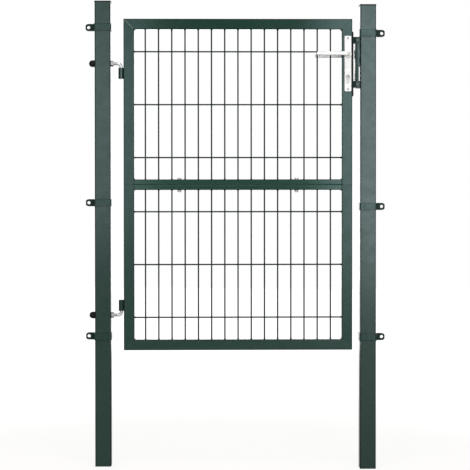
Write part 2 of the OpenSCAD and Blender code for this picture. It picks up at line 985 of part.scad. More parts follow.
// Tab that stops the closing leaf, from the keeper's front flange to the leaf's edge, from z = 0 up
module stop_tab() {
    length = latch_gap + stop_lap;
    color(paint_dark)
        translate([latch_post_face, 0, 0])
            mirror([1, 0, 0])
                upright_plate(-keeper_depth / 2 - keeper_sheet, keeper_sheet) {
                    square([length - stop_corner, stop_height]);
                    translate([0, stop_corner])
                        square([length, stop_height - 2 * stop_corner]);
                    for (z = [stop_corner, stop_height - stop_corner])
                        translate([length - stop_corner, z])
                            circle(r = stop_corner);
                }
}

module keeper_bottom_stop() {
    translate([0, 0, keeper_bottom])
        stop_tab();
}

module keeper_top_stop() {
    translate([0, 0, keeper_top - stop_height])
        stop_tab();
}

hinge_post();
latch_post();
hinge_post_cap();
latch_post_cap();
hinge_clamp_bottom();
hinge_clamp_middle();
hinge_clamp_top();
latch_clamp_bottom();
latch_clamp_middle();
latch_clamp_top();
upper_hinge_hook();
lower_hinge_hook();
upper_hook_nuts();
lower_hook_nuts();
upper_nut_cover();
lower_nut_cover();
keeper();
keeper_top_stop();
keeper_bottom_stop();
top_rail();
bottom_rail();
upper_meeting_rail();
lower_meeting_rail();
upper_hinge_stile();
lower_hinge_stile();
upper_latch_stile();
lower_latch_stile();
upper_mesh();
lower_mesh();
upper_hinge_barrel();
lower_hinge_barrel();
hinge_side_joining_bolt();
latch_side_joining_bolt();
lock_case();
lock_forend();
deadbolt();
front_lock_plate();
rear_lock_plate();
key_cylinder();
handle_spindle();
front_lever();
rear_lever();
latch();
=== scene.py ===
"""Looks of a pedestrian gate between two posts.

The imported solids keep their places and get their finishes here. Round mesh wires, weld beads, threads
and screws are added, each riding on the body that carries it. Lengths are metres in the solids' frame.
"""

import logging
import math
import random
from dataclasses import dataclass, replace
from enum import Enum
from typing import Callable, Sequence

import bmesh
import bpy
from mathutils import Matrix, Vector


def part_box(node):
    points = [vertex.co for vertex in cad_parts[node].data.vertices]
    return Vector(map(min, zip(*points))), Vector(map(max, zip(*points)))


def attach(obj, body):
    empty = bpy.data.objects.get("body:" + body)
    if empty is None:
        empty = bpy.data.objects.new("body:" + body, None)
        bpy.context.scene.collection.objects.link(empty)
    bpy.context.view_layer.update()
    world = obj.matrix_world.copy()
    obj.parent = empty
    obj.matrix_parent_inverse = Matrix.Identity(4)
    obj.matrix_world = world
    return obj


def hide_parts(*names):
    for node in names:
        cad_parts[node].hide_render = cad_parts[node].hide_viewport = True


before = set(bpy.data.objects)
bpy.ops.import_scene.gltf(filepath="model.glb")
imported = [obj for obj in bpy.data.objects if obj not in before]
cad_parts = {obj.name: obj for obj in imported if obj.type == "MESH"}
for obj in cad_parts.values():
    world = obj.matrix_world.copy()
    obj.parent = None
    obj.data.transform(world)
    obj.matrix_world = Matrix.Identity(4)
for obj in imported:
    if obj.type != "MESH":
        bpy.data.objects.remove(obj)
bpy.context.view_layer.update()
LOG = logging.getLogger("gate")
IMAGE_SIDE = 470

Pair = tuple[float, float]
Triple = tuple[float, float, float]
Colour = tuple[float, float, float]
Ring = list[Vector]
Socket = bpy.types.NodeSocket

ALONG_X = Vector((1.0, 0.0, 0.0))
ALONG_Y = Vector((0.0, 1.0, 0.0))
ALONG_Z = Vector((0.0, 0.0, 1.0))
FRONT_AND_BACK = (-ALONG_Y, ALONG_Y)
WHITE = (1.0, 1.0, 1.0, 1.0)
JOINT_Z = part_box("upper_meeting_rail")[0].z


class Body(Enum):
    """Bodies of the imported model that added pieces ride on."""

    POSTS = "posts"
    LEAF = "leaf"


class Slot(Enum):
    """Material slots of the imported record."""

    GREEN_PAINT = "green_paint"
    CAP_PLASTIC = "cap_plastic"
    COVER_PLASTIC = "cover_plastic"
    ZINC = "zinc"
    BLACK_STEEL = "black_steel"
    SATIN_ALUMINIUM = "satin_aluminium"
    NICKEL = "nickel"


class Half(Enum):
    """The two welded halves of the leaf."""

    UPPER = "upper"
    LOWER = "lower"


class Spread(Enum):
    """Ways in which a value goes from its low to its high level."""

    EVEN = "LINEAR"
    SMOOTH = "SMOOTHSTEP"


class NodeSheet:
    """A node tree, with short calls that add and join nodes."""

    def __init__(self, tree: bpy.types.NodeTree) -> None:
        """Keeps the tree that the calls add to."""
        self.tree = tree

    def add(self, kind: str, **inputs: object) -> bpy.types.Node:
        """Adds a node and fills or joins its inputs.

        Args:
            kind: The node's type name.
            inputs: Values or output sockets, by input name with underscores for spaces.

        Returns:
            The new node.
        """
        node = self.tree.nodes.new(kind)
        for key, value in inputs.items():
            self.feed(node, key.replace("_", " "), value)
        return node

    def feed(self, node: bpy.types.Node, socket: str | int, value: object) -> None:
        """Sets an input to a value, or joins it to an output socket.

        Args:
            node: The node whose input is fed.
            socket: The input's name or number.
            value: A plain value or an output socket.
        """
        if isinstance(value, Socket):
            self.tree.links.new(value, node.inputs[socket])
        else:
            node.inputs[socket].default_value = value

    def feed_in_order(self, node: bpy.types.Node, *values: object) -> None:
        """Feeds a node's first inputs, one after the other."""
        for index, value in enumerate(values):
            self.feed(node, index, value)

    def levels(self, value: Socket, start: float, end: float, low: float, high: float,
               spread: Spread = Spread.EVEN) -> Socket:
        """Spreads a value's range from start to end over low to high.

        Args:
            value: The socket to spread.
            start: Value that gives low.
            end: Value that gives high.
            low: Result at start and before.
            high: Result at end and after.
            spread: How the result goes from low to high.

        Returns:
            The spread value's socket.
        """
        node = self.add("ShaderNodeMapRange")
        node.interpolation_type = spread.value
        self.feed_in_order(node, value, start, end, low, high)
        return node.outputs[0]

    def math(self, operation: str, first: Socket, second: object = 0.0) -> Socket:
        """Works out one step of arithmetic.

        Args:
            operation: The step's name.
            first: A value socket.
            second: A number or a value socket.

        Returns:
            The result's socket.
        """
        step = self.add("ShaderNodeMath")
        step.operation = operation
        self.feed_in_order(step, first, second)
        return step.outputs[0]

    def show(self, share: Socket, first: bpy.types.Node, second: bpy.types.Node, output: str) -> None:
        """Sends a blend of two shaders to the tree's output.

        Args:
            share: Socket that is 0 at the first shader and 1 at the second.
            first: A shader node.
            second: Another shader node.
            output: Type name of the output node.
        """
        mix = self.add("ShaderNodeMixShader")
        self.feed_in_order(mix, share, first.outputs[0], second.outputs[0])
        self.add(output, Surface=mix.outputs[0])


class ShaderSheet(NodeSheet):
    """Node tree of one material, with its shader and the places of the solids' frame."""

    # Where a colour mix node keeps its two colours and its result
    mix_inputs = (6, 7)
    mix_output = 2

    def __init__(self, name: str) -> None:
        """Starts a material.

        Args:
            name: The material's name.
        """
        self.material = bpy.data.materials.new(name)
        self.material.use_nodes = True
        super().__init__(self.material.node_tree)
        self.shader = self.tree.nodes["Principled BSDF"]
        self.place = self.add("ShaderNodeTexCoord").outputs["Object"]

    def facing(self, axis: str) -> Socket:
        """How far the surface looks along an axis, from -1 to 1."""
        normal = self.add("ShaderNodeNewGeometry").outputs["Normal"]
        return self.add("ShaderNodeSeparateXYZ", Vector=normal).outputs[axis]

    def along(self, axis: str) -> Socket:
        """Place along an axis."""
        return self.add("ShaderNodeSeparateXYZ", Vector=self.place).outputs[axis]

    def apart(self, axis: str, middle: float) -> Socket:
        """Distance along an axis from a middle, on either side."""
        return self.math("ABSOLUTE", self.math("SUBTRACT", self.along(axis), middle))

    def noise(self, scale: float, detail: float = 2.0, stretch: Triple = (1.0, 1.0, 1.0)) -> Socket:
        """Noise of so many cells in a metre, with finer layers, and stretched along the axes."""
        place = self.add("ShaderNodeMapping", Vector=self.place, Scale=stretch).outputs[0]
        return self.add("ShaderNodeTexNoise", Vector=place, Scale=scale, Detail=detail).outputs[0]

    def blend(self, share: Socket, first: object, second: object) -> Socket:
        """Blends two colours.

        Args:
            share: Socket that is 0 at the first colour and 1 at the second.
            first: A colour or a colour socket.
            second: A colour or a colour socket.

        Returns:
            The blended colour's socket.
        """
        mix = self.add("ShaderNodeMix")
        mix.data_type = "RGBA"
        self.feed(mix, 0, share)
        for index, colour in zip(self.mix_inputs, (first, second)):
            self.feed(mix, index, colour if isinstance(colour, Socket) else (*colour, 1.0))
        return mix.outputs[self.mix_output]


@dataclass(frozen=True)
class Finish:
    """Surface of one kind of piece: two shades in soft clouds, a grain and a spread of roughness."""

    name: str
    shade: Colour
    other_shade: Colour
    roughness: Pair
    slot: Slot
    metallic: float = 0.0
    specular: float = 0.5
    sheen_tint: Colour = (1.0, 1.0, 1.0)
    cloud_scale: float = 9.0
    cloud_detail: float = 3.0
    cloud_range: Pair = (0.35, 0.65)
    grain_scale: float = 600.0
    grain_stretch: Triple = (1.0, 1.0, 1.0)
    grain_depth: float = 0.0003
    grain_strength: float = 0.2
    dull_patch_scale: float = 0.06
    dull_patch_range: Pair = (0.3, 0.7)

    def base(self, sheet: ShaderSheet) -> Socket:
        """Colour of the surface."""
        clouds = sheet.noise(self.cloud_scale, self.cloud_detail)
        return sheet.blend(sheet.levels(clouds, *self.cloud_range, 0.0, 1.0), self.shade, self.other_shade)

    def shine(self, sheet: ShaderSheet) -> object:
        """Level of the mirror light, a number or a socket of the sheet."""
        return self.specular

    def dullness(self, sheet: ShaderSheet) -> Socket:
        """Roughness of the surface, in patches that are larger than the grain."""
        patches = sheet.noise(self.grain_scale * self.dull_patch_scale, stretch=self.grain_stretch)
        return sheet.levels(patches, *self.dull_patch_range, *self.roughness)

    def material(self) -> bpy.types.Material:
        """Material of this finish, made at its first use.

        Returns:
            The shared material.
        """
        made = bpy.data.materials.get(self.name)
        if made is not None:
            return made
        sheet = ShaderSheet(self.name)
        grain = sheet.noise(self.grain_scale, stretch=self.grain_stretch)
        bump = sheet.add("ShaderNodeBump", Height=grain, Distance=self.grain_depth,
                         Strength=self.grain_strength)
        inputs = {
            "Base Color": self.base(sheet),
            "Metallic": self.metallic,
            "Specular IOR Level": self.shine(sheet),
            "Specular Tint": (*self.sheen_tint, 1.0),
            "Roughness": self.dullness(sheet),
            "Normal": bump.outputs[0],
        }
        for socket, value in inputs.items():
            sheet.feed(sheet.shader, socket, value)
        return sheet.material


COOL_SHEEN: Colour = (0.80, 0.97, 1.0)
LEAF_SHEEN: Colour = (0.74, 0.97, 1.0)


@dataclass(frozen=True)
class PowderCoat(Finish):
    """Green powder coat on steel, with orange peel, and fine dust on what faces up."""

    slot: Slot = Slot.GREEN_PAINT
    sheen_tint: Colour = COOL_SHEEN
    grain_scale: float = 520.0
    grain_strength: float = 0.06
    dust: Colour = (0.16, 0.17, 0.16)
    dust_share: float = 0.22
    dust_start: float = 0.5
    speckle_scale: float = 140.0
    speckle_detail: float = 4.0
    least_speckle: float = 0.3

    def base(self, sheet: ShaderSheet) -> Socket:
        """Colour of the paint with its dust.

        Args:
            sheet: The material's node tree.

        Returns:
            The colour socket.
        """
        facing = sheet.levels(sheet.facing("Z"), self.dust_start, 1.0, 0.0, self.dust_share)
        speckle = sheet.levels(sheet.noise(self.speckle_scale, self.speckle_detail), *self.cloud_range,
                               self.least_speckle, 1.0)
        return sheet.blend(sheet.math("MULTIPLY", facing, speckle), super().base(sheet), self.dust)


@dataclass(frozen=True)
class EdgedCoat(PowderCoat):
    """Powder coat of the tubes, with painted shade along their round corners."""

    # Colour of the painted shade on the round corners, and the mirror level kept there
    painted_edge_shade: Colour = (0.0015, 0.0030, 0.0025)
    edge_shine: float = 0.05
    face_range: Pair = (0.93, 0.995)
    side_range: Pair = (0.02, 0.30)

    def edge(self, sheet: ShaderSheet) -> Socket:
        """Share of the painted shade: 1 on a corner between a front or back face and a side."""
        forward = sheet.math("ABSOLUTE", sheet.facing("Y"))
        return sheet.math("MULTIPLY", sheet.levels(forward, *self.face_range, 1.0, 0.0),
                          sheet.levels(forward, *self.side_range, 0.0, 1.0))

    def base(self, sheet: ShaderSheet) -> Socket:
        """Colour of the paint, with painted shade along the edges."""
        return sheet.blend(self.edge(sheet), super().base(sheet), self.painted_edge_shade)

    def shine(self, sheet: ShaderSheet) -> object:
        """Level of the mirror light, lower along the edges."""
        return sheet.levels(self.edge(sheet), 0.0, 1.0, self.specular, self.edge_shine)


@dataclass(frozen=True)
class JointCoat(EdgedCoat):
    """Powder coat of the two meeting rails, without painted corner shade along the joint between them."""

    plain_range: Pair = (0.006, 0.012)

    def edge(self, sheet: ShaderSheet) -> Socket:
        """Share of the painted shade: 1 on the pair's outer corners, 0 on those beside the joint."""
        outside = sheet.levels(sheet.apart("Z", JOINT_Z), *self.plain_range, 0.0, 1.0)
        return sheet.math("MULTIPLY", super().edge(sheet), outside)


@dataclass(frozen=True)
class StileCoat(EdgedCoat):
    """Powder coat of the stiles, with a painted shadow line where an upper one stands on a lower one."""

    # Half width and fade of the painted shadow line in the joint
    line_range: Pair = (0.0003, 0.0006)

    def edge(self, sheet: ShaderSheet) -> Socket:
        """Share of the painted shade: 1 on the round corners and in the joint's shadow line."""
        joint = sheet.levels(sheet.apart("Z", JOINT_Z), *self.line_range, 1.0, 0.0)
        return sheet.math("MAXIMUM", super().edge(sheet), joint)


@dataclass(frozen=True)
class ClampCoat(EdgedCoat):
    """Powder coat of the clamps: smooth bands, rougher ears with painted shade beside the posts, and
    painted shade along the strip's edges.
    """

    gate_middle: float = 0.5
    ear_range: Pair = (0.531, 0.535)
    ear_dullness: float = 0.38
    # Share of painted shade on the ears
    painted_ear_shade: float = 0.35
    turn_range: Pair = (0.10, 0.40)

    def ear(self, sheet: ShaderSheet, top: float) -> Socket:
        """Value that is 0 on the band and rises to top on the ears."""
        return sheet.levels(sheet.apart("X", self.gate_middle), *self.ear_range, 0.0, top)

    def edge(self, sheet: ShaderSheet) -> Socket:
        """Share of the painted shade: 1 where the strip's edge turns up or down, part of it on the ears."""
        turned = sheet.levels(sheet.math("ABSOLUTE", sheet.facing("Z")), *self.turn_range, 0.0, 1.0)
        return sheet.math("MAXIMUM", turned, self.ear(sheet, self.painted_ear_shade))

    def dullness(self, sheet: ShaderSheet) -> Socket:
        """Roughness of the surface, higher from the band's side outwards."""
        return sheet.math("ADD", super().dullness(sheet), self.ear(sheet, self.ear_dullness))


@dataclass(frozen=True)
class KeeperCoat(PowderCoat):
    """Powder coat of the keeper: dull on the folded lip, smooth on the flange beside the post."""

    grain_scale: float = 700.0
    grain_strength: float = 0.12
    lip_end: float = 0.9615
    lip_fade: float = 0.0015
    lip_shine: float = 0.22

    def shine(self, sheet: ShaderSheet) -> object:
        """Level of the mirror light, lower on the lip."""
        return sheet.levels(sheet.along("X"), self.lip_end, self.lip_end + self.lip_fade,
                            self.lip_shine, self.specular)


@dataclass(frozen=True)
class SatinMetal(Finish):
    """Brushed satin metal, with painted shade where it looks down."""

    painted_underside_shade: Colour = (0.30, 0.31, 0.31)
    under_range: Pair = (-0.55, -0.15)

    def base(self, sheet: ShaderSheet) -> Socket:
        """Colour of the metal, with painted shade on the undersides."""
        under = sheet.levels(sheet.facing("Z"), *self.under_range, 1.0, 0.0)
        return sheet.blend(under, super().base(sheet), self.painted_underside_shade)


@dataclass(frozen=True)
class ZincPlate(Finish):
    """Bright zinc plate with the faint crystal patches of the bath, and painted shade on faces turned to
    the sides.
    """

    slot: Slot = Slot.ZINC
    grain_scale: float = 700.0
    grain_strength: float = 0.12
    crystal_scale: float = 330.0
    # Painted shade on faces turned to the sides
    painted_side_shade: Colour = (0.16, 0.165, 0.17)
    side_range: Pair = (0.35, 0.75)

    def base(self, sheet: ShaderSheet) -> Socket:
        """Colour of the plate, from its crystals, with painted shade on faces turned to the sides.

        Args:
            sheet: The material's node tree.

        Returns:
            The colour socket.
        """
        cells = sheet.add("ShaderNodeTexVoronoi", Vector=sheet.place, Scale=self.crystal_scale)
        tone = sheet.add("ShaderNodeSeparateColor", Color=cells.outputs["Color"]).outputs[0]
        plate = sheet.blend(tone, self.shade, self.other_shade)
        forward = sheet.math("ABSOLUTE", sheet.facing("Y"))
        return sheet.blend(sheet.levels(forward, *self.side_range, 1.0, 0.0), plate, self.painted_side_shade)


GREEN_COAT = EdgedCoat(
    "green_powder_coat", (0.0118, 0.0340, 0.0258), (0.0138, 0.0372, 0.0286), (0.20, 0.27))
LEAF_SHADES: tuple[Colour, Colour] = ((0.0126, 0.0378, 0.0288), (0.0144, 0.0410, 0.0316))
LEAF_COAT = StileCoat(
    "green_coat_on_leaf", *LEAF_SHADES, (0.20, 0.27), specular=0.46, sheen_tint=LEAF_SHEEN)
UPPER_LATCH_COAT = replace(LEAF_COAT, name="green_coat_on_upper_latch_stile", specular=0.42)
LOWER_LATCH_COAT = replace(LEAF_COAT, name="green_coat_on_lower_latch_stile", specular=0.36)
RAIL_COAT = EdgedCoat(
    "green_coat_on_rails", *LEAF_SHADES, (0.11, 0.15), specular=0.29, sheen_tint=LEAF_SHEEN)
# Lighter copy of the leaf's paint: painted light for the meeting rails' brighter middle
MEETING_COAT = JointCoat(
    "green_coat_on_meeting_rails", (0.0176, 0.0525, 0.0400), (0.0198, 0.0565, 0.0434), (0.11, 0.15),
    specular=0.31, sheen_tint=LEAF_SHEEN)
SEAM_COAT = PowderCoat(
    "green_coat_on_seams", *LEAF_SHADES, (0.20, 0.27), specular=0.46, sheen_tint=LEAF_SHEEN)
CLAMP_COAT = ClampCoat(
    "green_coat_on_clamps", (0.0108, 0.0315, 0.0240), (0.0128, 0.0345, 0.0266), (0.22, 0.29),
    specular=0.46, sheen_tint=LEAF_SHEEN)
KEEPER_COAT = KeeperCoat(
    "green_coat_on_keeper", (0.0100, 0.0300, 0.0230), (0.0120, 0.0335, 0.0260), (0.22, 0.30),
    specular=0.55)
TAB_COAT = KeeperCoat(
    "green_coat_on_stop_tabs", (0.0066, 0.0160, 0.0130), (0.0084, 0.0190, 0.0155), (0.30, 0.40),
    specular=0.45, lip_end=0.9535, lip_shine=0.08)
BARREL_COAT = PowderCoat(
    "green_coat_on_barrels", (0.0112, 0.0320, 0.0245), (0.0130, 0.0350, 0.0270), (0.08, 0.13),
    specular=0.65, grain_strength=0.03)
# Paler copy of the seam coat: a painted highlight on one mitre seam
SEAM_HIGHLIGHT_COAT = PowderCoat(
    "painted_highlight_on_a_seam", (0.0700, 0.0950, 0.0880), (0.0850, 0.1120, 0.1040), (0.26, 0.36),
    cloud_scale=160.0, grain_scale=900.0, grain_strength=0.10)
WIRE_COAT = PowderCoat(
    "green_coat_on_wires", (0.0068, 0.0200, 0.0156), (0.0082, 0.0228, 0.0178), (0.38, 0.48),
    specular=0.15, grain_scale=900.0, grain_strength=0.10)
WELD_COAT = PowderCoat(
    "green_coat_on_welds", (0.0090, 0.0285, 0.0225), (0.0130, 0.0370, 0.0295), (0.34, 0.48),
    specular=0.35, cloud_scale=160.0, grain_scale=900.0, grain_strength=0.35)
CAP_PLASTIC = Finish(
    "cap_moulded_plastic", (0.006, 0.012, 0.011), (0.009, 0.016, 0.014), (0.46, 0.60),
    Slot.CAP_PLASTIC, specular=0.35, grain_scale=1500.0, grain_strength=0.30)
COVER_PLASTIC = Finish(
    "cover_moulded_plastic", (0.005, 0.006, 0.006), (0.008, 0.009, 0.009), (0.36, 0.50),
    Slot.COVER_PLASTIC, specular=0.22, grain_scale=1500.0, grain_strength=0.25)
BLACK_STEEL = Finish(
    "black_painted_steel", (0.006, 0.008, 0.008), (0.010, 0.012, 0.012), (0.44, 0.58),
    Slot.BLACK_STEEL, specular=0.3, grain_scale=800.0, grain_strength=0.18)
ZINC = ZincPlate(
    "bright_zinc_plate", (0.76, 0.77, 0.78), (0.86, 0.86, 0.87), (0.26, 0.38), metallic=0.35)
NUT_ZINC = ZincPlate(
    "dull_zinc_plate", (0.50, 0.51, 0.52), (0.60, 0.61, 0.62), (0.30, 0.42), metallic=0.40)
SCREW_STEEL = Finish(
    "dull_screw_steel", (0.40, 0.40, 0.40), (0.48, 0.48, 0.48), (0.34, 0.46),
    Slot.ZINC, metallic=0.4, cloud_scale=300.0, grain_scale=1500.0, grain_strength=0.10)
SATIN_UPRIGHT = SatinMetal(
    "satin_aluminium_upright", (0.80, 0.81, 0.805), (0.85, 0.855, 0.85), (0.36, 0.48),
    Slot.SATIN_ALUMINIUM, metallic=0.10, specular=0.4, cloud_scale=30.0, grain_scale=1600.0,
    grain_stretch=(1.0, 1.0, 0.02), grain_strength=0.10)
# The levers' painted underside shade is lighter, and lies only on their lowest faces
SATIN_LEVEL = replace(
    SATIN_UPRIGHT, name="satin_aluminium_level", grain_stretch=(0.02, 1.0, 1.0),
    painted_underside_shade=(0.52, 0.53, 0.53), under_range=(-0.92, -0.60))
NICKEL = Finish(
    "satin_nickel_plate", (0.46, 0.455, 0.44), (0.54, 0.535, 0.515), (0.28, 0.40),
    Slot.NICKEL, metallic=0.35, cloud_scale=200.0, grain_scale=1500.0, grain_strength=0.10)

SOLID_FINISHES: dict[Slot, Finish] = {
    finish.slot: finish
    for finish in (GREEN_COAT, CAP_PLASTIC, COVER_PLASTIC, ZINC, BLACK_STEEL, SATIN_UPRIGHT, NICKEL)}
# The first key that is part of a node's name gives the node's finish
SPECIAL_FINISHES: dict[str, Finish] = {
    "_lever": SATIN_LEVEL,
    "_meeting_rail": MEETING_COAT,
    "top_rail": RAIL_COAT,
    "bottom_rail": LEAF_COAT,
    "upper_latch_stile": UPPER_LATCH_COAT,
    "lower_latch_stile": LOWER_LATCH_COAT,
    "_stile": LEAF_COAT,
    "_clamp_": CLAMP_COAT,
    "_hinge_barrel": BARREL_COAT,
    "_hook_nuts": NUT_ZINC,
    "_joining_bolt": NUT_ZINC,
    "_stop": TAB_COAT,
    "keeper": KEEPER_COAT,
}


def turns(count: int) -> list[float]:
    """Angles that share a full turn evenly."""
    return [math.tau * k / count for k in range(count)]


def spokes(axis: Vector, sides: int) -> list[tuple[float, Vector]]:
    """Directions that stand out from an axis all round.

    Args:
        axis: The axis.
        sides: Number of directions.

    Returns:
        The angle of each direction, and the direction.
    """
    across = axis.orthogonal().normalized()
    beside = axis.cross(across).normalized()
    return [(t, across * math.cos(t) + beside * math.sin(t)) for t in turns(sides)]


class Draft:
    """Points and faces of one piece, gathered shape by shape."""

    ripple_length = 0.0022
    ripple_size = 0.10
    rings_in_ripple = 3
    fewest_rings = 6
    bead_sides = 10
    bead_end_size = 0.35
    bead_evenness = (0.96, 1.04)
    fillet_rings = 18
    fillet_bends = 6
    fillet_wave = 0.06
    fillet_wave_step = 1.9
    fillet_evenness = (0.95, 1.05)
    lump_sides = 14
    lump_wave = 0.09
    lump_lobes = 2
    lump_evenness = (0.88, 1.12)
    neck_size = 1.04

    def __init__(self, seed: int = 1) -> None:
        """Starts an empty piece.

        Args:
            seed: Seed of the small irregularities of its welds.
        """
        self.points: list[Vector] = []
        self.faces: list[tuple[int, ...]] = []
        self.chance = random.Random(seed)

    def loft(self, rings: Sequence[Ring]) -> None:
        """Joins closed rings of equal length into a capped skin.

        Args:
            rings: The rings, in order along the shape.
        """
        first = len(self.points)
        sides = len(rings[0])
        for ring in rings:
            self.points.extend(ring)
        for row in range(len(rings) - 1):
            for side in range(sides):
                a = first + row * sides + side
                b = first + row * sides + (side + 1) % sides
                self.faces.append((a, b, b + sides, a + sides))
        last = len(self.points) - sides
        self.faces.append(tuple(reversed(range(first, first + sides))))
        self.faces.append(tuple(range(last, last + sides)))

    def lathe(self, origin: Vector, axis: Vector, profile: Sequence[Pair], sides: int,
              swell: Callable[[float], float] = lambda angle: 1.0) -> None:
        """Turns a profile about an axis.

        Args:
            origin: Point on the axis where heights are counted from.
            axis: Direction of the heights.
            profile: Radius and height of each ring.
            sides: Points in a ring.
            swell: Factor on the radius at an angle.
        """
        ways = spokes(axis, sides)
        self.loft([[origin + axis * height + way * radius * swell(t) for t, way in ways]
                   for radius, height in profile])

    def rod(self, start: Vector, end: Vector, radius: float, sides: int = 16) -> None:
        """Adds a straight round rod between the centres of its two ends."""
        run = end - start
        self.lathe(start, run.normalized(), [(radius, 0.0), (radius, run.length)], sides)

    def weld_run(self, start: Vector, end: Vector, up: Vector, width: float, height: float) -> None:
        """Adds a rippled weld bead along a line.

        Args:
            start: First end of the bead's foot.
            end: Other end of the bead's foot.
            up: Direction in which the bead stands proud.
            width: Full width of the bead.
            height: Height of the bead over its foot, and its depth below.
        """
        run = end - start
        along = run.normalized()
        beside = along.cross(up).normalized()
        ripples = run.length / self.ripple_length
        steps = max(self.fewest_rings, round(ripples) * self.rings_in_ripple)
        rings = []
        for step in range(steps + 1):
            share = step / steps
            end_fall = min(1.0, self.bead_end_size + min(share, 1.0 - share) * run.length / width)
            wave = 1.0 + self.ripple_size * math.sin(math.tau * share * ripples)
            size = end_fall * wave * self.chance.uniform(*self.bead_evenness)
            centre = start + along * (share * run.length)
            rings.append([
                centre + (beside * math.cos(t) * width / 2 + up * math.sin(t) * height) * size
                for t in turns(self.bead_sides)])
        self.loft(rings)

    def fillet(self, start: Vector, end: Vector, first: Vector, second: Vector, leg: float) -> None:
        """Adds a hollow fillet weld along the line where two faces meet.

        Args:
            start: First end of the line.
            end: Other end of the line.
            first: Direction away from the line on one face.
            second: Direction away from the line on the other face.
            leg: Reach of the weld on each face.
        """
        arc = [math.pi / 2 * k / self.fillet_bends for k in range(self.fillet_bends + 1)]
        rings = []
        for step in range(self.fillet_rings + 1):
            wave = 1.0 + self.fillet_wave * math.sin(self.fillet_wave_step * step)
            reach = leg * wave * self.chance.uniform(*self.fillet_evenness)
            corner = start.lerp(end, step / self.fillet_rings)
            rings.append([corner] + [
                corner + first * reach * (1.0 - math.sin(t)) + second * reach * (1.0 - math.cos(t))
                for t in arc])
        self.loft(rings)

    def dollop(self, foot: Vector, along: Vector, wire_radius: float, spread: float, height: float) -> None:
        """Adds the lump of weld at a wire's end.

        Args:
            foot: Where the wire meets the frame.
            along: Direction of the wire, away from the frame.
            wire_radius: Radius of the wire.
            spread: Radius of the lump on the frame.
            height: Height of the lump along the wire.
        """
        turn = self.chance.uniform(0.0, math.tau)
        size = self.chance.uniform(*self.lump_evenness)
        neck = wire_radius * self.neck_size
        # From the foot on the frame, over the shoulder, to the neck round the wire
        rise = [(spread * size, 0.0), (spread * size * 0.92, height * 0.22),
                (spread * 0.72, height * 0.5), (neck * 1.08, height * 0.82), (neck * 0.96, height * size)]
        self.lathe(foot, along, rise, self.lump_sides,
                   lambda t: 1.0 + self.lump_wave * math.sin(self.lump_lobes * t + turn))

    def piece(self, name: str, finish: Finish, body: Body, sharp_deg: float = 40.0) -> bpy.types.Object:
        """Makes the gathered shapes one object, dressed and riding on a body.

        Args:
            name: The piece's name.
            finish: Its finish.
            body: The body that it rides on.
            sharp_deg: Angle past which an edge stays crisp.

        Returns:
            The new object.
        """
        mesh = bpy.data.meshes.new(name)
        mesh.from_pydata([tuple(p) for p in self.points], [], self.faces)
        work = bmesh.new()
        work.from_mesh(mesh)
        bmesh.ops.recalc_face_normals(work, faces=work.faces)
        for face in work.faces:
            face.smooth = True
        for edge in work.edges:
            edge.smooth = edge.calc_face_angle(0.0) < math.radians(sharp_deg)
        work.to_mesh(mesh)
        work.free()
        mesh.materials.append(finish.material())
        made = bpy.data.objects.new(name, mesh)
        bpy.context.scene.collection.objects.link(made)
        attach(made, body.value)
        LOG.info("%s on %s, %d faces", name, body.value, len(mesh.polygons))
        return made


@dataclass
class WireMesh:
    """Welded wire mesh of one half of the leaf: round upright wires in front of round cross wires."""

    half: Half
    wire_d: float = 0.0055
    upright_pitch: float = 0.050
    cross_pitch: float = 0.200
    sink: float = 0.001
    least_edge: float = 0.025
    least_cross_edge: float = 0.060
    rounding: float = 1e-6
    weld_spread: float = 0.0040
    weld_height: float = 0.0042
    # Radius and height of each ring of the weld between two wires, in radii of the wire
    nugget: tuple[Pair, ...] = ((0.4, -0.75), (1.15, -0.3), (1.3, 0.0), (1.15, 0.3), (0.4, 0.75))
    nugget_sides: int = 12

    def places(self, low: float, high: float, pitch: float, edge: float) -> list[float]:
        """Spreads wires evenly about the middle of an opening.

        Args:
            low: Lower side of the opening.
            high: Higher side of the opening.
            pitch: Distance between the wires.
            edge: Least distance of a wire from the opening's side.

        Returns:
            The wires' places.
        """
        count = math.floor((high - low - 2 * edge) / pitch + self.rounding) + 1
        first = (low + high - (count - 1) * pitch) / 2
        return [first + pitch * k for k in range(count)]

    def build(self) -> None:
        """Builds the wires in place of the plain solid, then their welds."""
        node = f"{self.half.value}_mesh"
        low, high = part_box(node)
        middle = (low.y + high.y) / 2
        offset = (self.wire_d - self.sink) / 2
        radius = self.wire_d / 2
        uprights = self.places(low.x, high.x, self.upright_pitch, self.least_edge)
        crosses = self.places(low.z, high.z, self.cross_pitch, self.least_cross_edge)
        front, back = middle - offset, middle + offset

        wires = Draft()
        for x in uprights:
            wires.rod(Vector((x, front, low.z)), Vector((x, front, high.z)), radius)
        for z in crosses:
            wires.rod(Vector((low.x, back, z)), Vector((high.x, back, z)), radius)
        made = wires.piece(f"{node}_wires", WIRE_COAT, Body.LEAF)
        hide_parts(node)

        welds = Draft(seed=11 + len(node))
        lump = (radius, self.weld_spread, self.weld_height)
        for x in uprights:
            welds.dollop(Vector((x, front, low.z)), ALONG_Z, *lump)
            welds.dollop(Vector((x, front, high.z)), -ALONG_Z, *lump)
        for z in crosses:
            welds.dollop(Vector((low.x, back, z)), ALONG_X, *lump)
            welds.dollop(Vector((high.x, back, z)), -ALONG_X, *lump)
        lens = [(size * radius, rise * radius) for size, rise in self.nugget]
        for x in uprights:
            for z in crosses:
                welds.lathe(Vector((x, middle, z)), ALONG_Y, lens, self.nugget_sides)
        welds.piece(f"{node}_welds", WELD_COAT, Body.LEAF)


